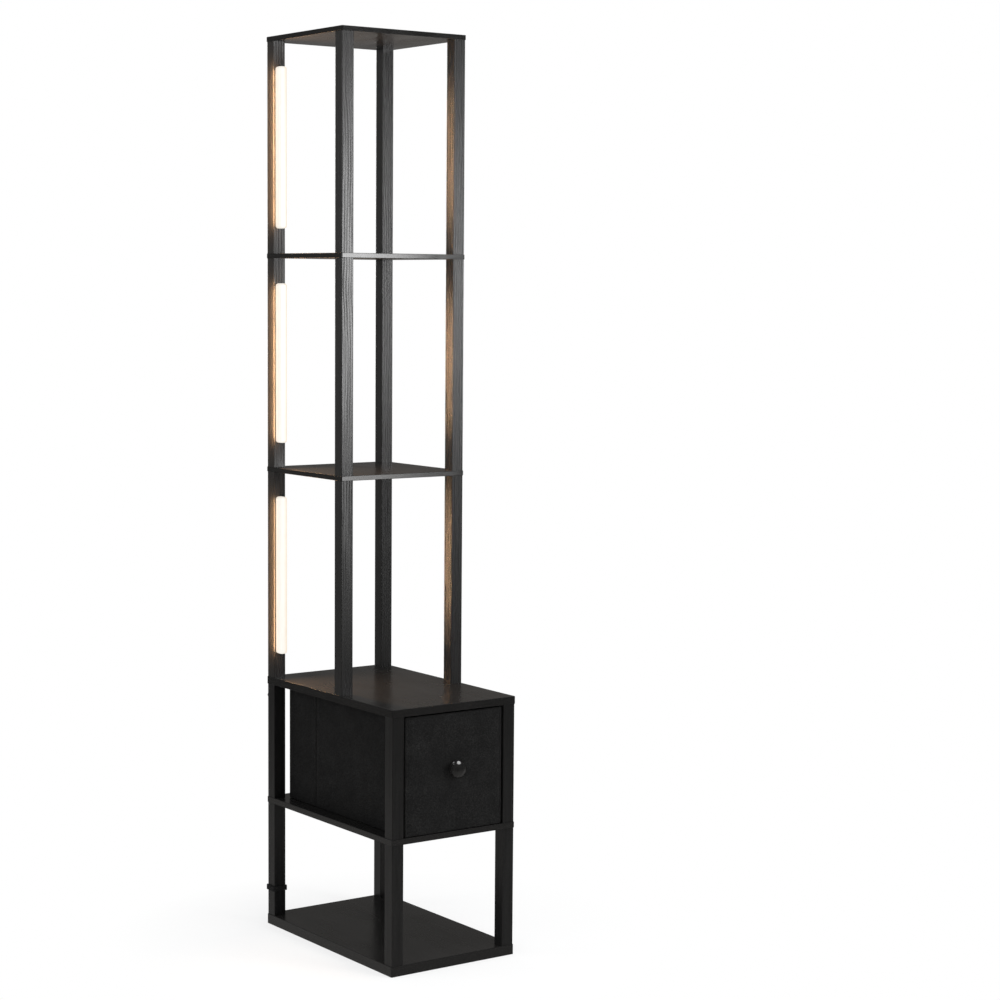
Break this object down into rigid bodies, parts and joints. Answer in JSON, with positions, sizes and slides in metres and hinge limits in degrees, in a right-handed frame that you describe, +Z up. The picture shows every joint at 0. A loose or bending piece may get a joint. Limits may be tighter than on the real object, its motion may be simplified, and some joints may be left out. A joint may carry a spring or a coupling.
{
  "type": "floor lamp with table",
  "caption": "Black shelf floor lamp: a square open tower with lit bars on one post, standing on a deeper side table with a fabric drawer and an open bottom shelf.",
  "frame": {"origin": "middle of the base board's underside, on the floor", "axes": "+Z up, +X to the right seen from the front, the drawer's front faces -Y"},
  "size_m": [0.2559, 0.4523, 1.6],
  "materials": {
    "board_black": "semi-gloss black laminate on fibreboard",
    "leg_black": "satin black laminate with faint upright grain",
    "post_grain": "black open-grain laminate with grey streaks",
    "bar_plate": "white lacquered",
    "led_board": "white solder mask",
    "led_chip": "phosphor",
    "bar_opal": "opal diffuser, lit warm white",
    "lead_jacket": "black flexible jacket",
    "bright_steel": "zinc plated",
    "insert_brass": "turned",
    "bolt_black": "black oxide",
    "gland_black": "moulded black",
    "strap_black": "hook and loop strap",
    "bin_cloth": "speckled non-woven cloth",
    "bin_lining_cloth": "black non-woven cloth",
    "greyboard": "greyboard",
    "knob_gloss": "polished black"
  },
  "bodies": {
    "frame": {"base_board": "board_black", "drawer_shelf": "board_black", "table_top": "board_black", "lower_shelf": "board_black", "upper_shelf": "board_black", "top_board": "board_black", "lower_leg_front_left": "leg_black", "lower_leg_front_right": "leg_black", "lower_leg_rear_left": "leg_black", "lower_leg_rear_right": "leg_black", "upper_leg_front_left": "leg_black", "upper_leg_front_right": "leg_black", "upper_leg_rear_left": "leg_black", "upper_leg_rear_right": "leg_black", "lower_post_front_left": "post_grain", "lower_post_front_right": "post_grain", "lower_post_rear_left": "post_grain", "lower_post_rear_right": "post_grain", "middle_post_front_left": "post_grain", "middle_post_front_right": "post_grain", "middle_post_rear_left": "post_grain", "middle_post_rear_right": "post_grain", "upper_post_front_left": "post_grain", "upper_post_front_right": "post_grain", "upper_post_rear_left": "post_grain", "upper_post_rear_right": "post_grain", "lower_bar_plate": "bar_plate", "lower_bar_led_board": "led_board", "lower_bar_cover": "bar_opal", "lower_bar_lead": "lead_jacket", "middle_bar_plate": "bar_plate", "middle_bar_led_board": "led_board", "middle_bar_cover": "bar_opal", "middle_bar_lead": "lead_jacket", "upper_bar_plate": "bar_plate", "upper_bar_led_board": "led_board", "upper_bar_cover": "bar_opal", "upper_bar_lead": "lead_jacket", "bar_leds": "led_chip", "bar_screws": "bright_steel", "threaded_inserts": "insert_brass", "table_inserts": "insert_brass", "joint_studs": "bright_steel", "table_studs": "bright_steel", "base_bolts": "bolt_black", "table_bolts": "bolt_black", "top_bolts": "bolt_black", "lead_splice": "lead_jacket", "cord_gland": "gland_black", "cord_strap": "strap_black"},
    "drawer": {"bin_cover": "bin_cloth", "bin_lining": "bin_lining_cloth", "bin_end_stiffeners": "greyboard", "bin_side_stiffeners": "greyboard", "bin_floor_board": "bin_lining_cloth", "bin_knob": "knob_gloss", "knob_screw": "bright_steel", "knob_washer": "bright_steel"}
  },
  "joints": [
    {"name": "drawer_slide", "type": "slide", "parent": "frame", "child": "drawer", "axis": [0, -1, 0], "range_m": [0, 0.29]}
  ]
}
